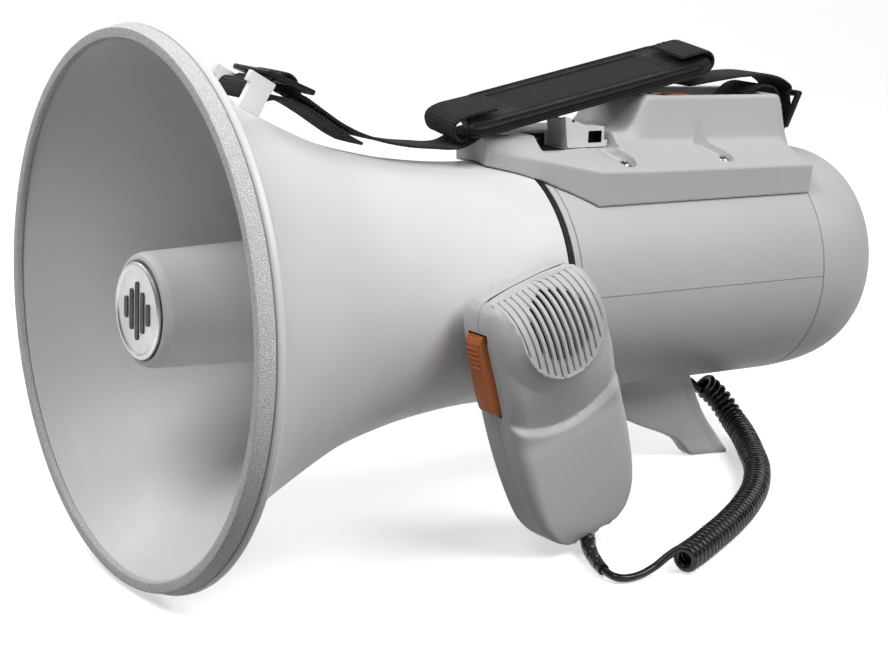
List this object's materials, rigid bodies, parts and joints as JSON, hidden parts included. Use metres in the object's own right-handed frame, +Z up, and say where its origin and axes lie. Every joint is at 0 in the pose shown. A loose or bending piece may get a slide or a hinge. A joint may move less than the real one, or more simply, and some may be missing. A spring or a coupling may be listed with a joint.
{
  "type": "megaphone",
  "caption": "Shoulder-type megaphone: flared horn with central sound reflector, round body with control housing on top, foot, carrying strap and a hand microphone on a curly cord.",
  "frame": {"origin": "on the floor, under the middle of the megaphone's box without its cord", "axes": "+Y runs back from the horn's mouth to the battery cap, +X towards the hanging microphone, +Z up; the horn's axis is tilted tail-down by 3.9 degrees about X, as it stands on rim and foot"},
  "size_m": [0.25, 0.3885, 0.2339],
  "materials": {
    "horn_bell": "smooth satin",
    "rim_bumper": "leather grain",
    "reflector_cup": "smooth satin",
    "reflector_badge": "extruded",
    "throat_pipe": "smooth satin",
    "horn_gasket": "matt",
    "driver_flange": "smooth satin",
    "driver_diaphragm": "thin film",
    "driver_top_plate": "zinc plated",
    "driver_magnet": "sintered",
    "driver_yoke": "zinc plated",
    "body_upper_shell": "fine moulded grain",
    "body_lower_shell": "fine moulded grain",
    "rear_foot": "fine moulded grain",
    "battery_holder": "satin",
    "battery_cell_1": "printed sleeve",
    "battery_cell_2": "printed sleeve",
    "battery_cell_3": "printed sleeve",
    "battery_cell_4": "printed sleeve",
    "battery_cell_5": "printed sleeve",
    "battery_cell_6": "printed sleeve",
    "battery_cell_7": "printed sleeve",
    "battery_cell_8": "printed sleeve",
    "battery_contact_plate": "lacquered board",
    "control_housing": "fine moulded grain",
    "saddle_screw_1": "zinc plated",
    "saddle_screw_2": "zinc plated",
    "saddle_screw_3": "zinc plated",
    "saddle_screw_4": "zinc plated",
    "volume_control": "zinc plated",
    "amplifier_board": "lacquered board",
    "heat_sink": "extruded",
    "front_strap_lug": "smooth satin",
    "front_buckle": "satin",
    "front_webbing": "woven webbing",
    "shoulder_pad": "matt",
    "pad_loop_front": "woven webbing",
    "pad_loop_rear": "woven webbing",
    "rear_buckle": "satin",
    "rear_webbing": "woven webbing",
    "rear_strap_bar": "zinc plated",
    "mic_holder": "fine moulded grain",
    "mic_wire": "matt",
    "cord_coil": "matt",
    "cord_plug": "matt",
    "cord_socket": "fine moulded grain",
    "mic_front_shell": "fine moulded grain",
    "mic_back_shell": "fine moulded grain",
    "mic_grille_cloth": "woven webbing",
    "mic_capsule": "zinc plated",
    "mic_circuit_board": "lacquered board",
    "mic_hook": "fine moulded grain",
    "talk_switch": "satin",
    "mic_cord_boot": "matt",
    "talk_lever": "satin",
    "volume_knob": "satin",
    "selector_slide": "fine moulded grain",
    "rear_cap": "fine moulded grain",
    "cap_seal": "matt"
  },
  "bodies": {
    "megaphone": {"horn_bell": "horn_bell", "rim_bumper": "rim_bumper", "reflector_cup": "reflector_cup", "reflector_badge": "reflector_badge", "throat_pipe": "throat_pipe", "horn_gasket": "horn_gasket", "driver_flange": "driver_flange", "driver_diaphragm": "driver_diaphragm", "driver_top_plate": "driver_top_plate", "driver_magnet": "driver_magnet", "driver_yoke": "driver_yoke", "body_upper_shell": "body_upper_shell", "body_lower_shell": "body_lower_shell", "rear_foot": "rear_foot", "battery_holder": "battery_holder", "battery_cell_1": "battery_cell_1", "battery_cell_2": "battery_cell_2", "battery_cell_3": "battery_cell_3", "battery_cell_4": "battery_cell_4", "battery_cell_5": "battery_cell_5", "battery_cell_6": "battery_cell_6", "battery_cell_7": "battery_cell_7", "battery_cell_8": "battery_cell_8", "battery_contact_plate": "battery_contact_plate", "control_housing": "control_housing", "saddle_screw_1": "saddle_screw_1", "saddle_screw_2": "saddle_screw_2", "saddle_screw_3": "saddle_screw_3", "saddle_screw_4": "saddle_screw_4", "volume_control": "volume_control", "amplifier_board": "amplifier_board", "heat_sink": "heat_sink", "front_strap_lug": "front_strap_lug", "front_buckle": "front_buckle", "front_webbing": "front_webbing", "shoulder_pad": "shoulder_pad", "pad_loop_front": "pad_loop_front", "pad_loop_rear": "pad_loop_rear", "rear_buckle": "rear_buckle", "rear_webbing": "rear_webbing", "rear_strap_bar": "rear_strap_bar", "mic_holder": "mic_holder", "mic_wire": "mic_wire", "cord_coil": "cord_coil", "cord_plug": "cord_plug", "cord_socket": "cord_socket"},
    "microphone": {"mic_front_shell": "mic_front_shell", "mic_back_shell": "mic_back_shell", "mic_grille_cloth": "mic_grille_cloth", "mic_capsule": "mic_capsule", "mic_circuit_board": "mic_circuit_board", "mic_hook": "mic_hook", "talk_switch": "talk_switch", "mic_cord_boot": "mic_cord_boot"},
    "lever": {"talk_lever": "talk_lever"},
    "knob": {"volume_knob": "volume_knob"},
    "selector": {"selector_slide": "selector_slide"},
    "cap": {"rear_cap": "rear_cap", "cap_seal": "cap_seal"}
  },
  "joints": [
    {"name": "mic_unhook", "type": "slide", "parent": "megaphone", "child": "microphone", "axis": [0, -0.2602, 0.9656], "range_m": [0, 0.026]},
    {"name": "talk_press", "type": "hinge", "parent": "microphone", "child": "lever", "pos_m": [0.0746, -0.05152, 0.07047], "axis": [-1, 0, 0], "range_deg": [0, 4.5], "stiffness_Nm_per_rad": 0.25, "springref_deg": -8.59},
    {"name": "volume_turn", "type": "hinge", "parent": "megaphone", "child": "knob", "pos_m": [0.0095, 0.09289, 0.17077], "axis": [0, 0.0683, 0.9977], "range_deg": [0, 290]},
    {"name": "selector_shift", "type": "slide", "parent": "megaphone", "child": "selector", "axis": [0, -0.9977, 0.0683], "range_m": [0, 0.006]},
    {"name": "cap_pull", "type": "slide", "parent": "megaphone", "child": "cap", "axis": [0, 0.9977, -0.0683], "range_m": [0, 0.06]}
  ]
}
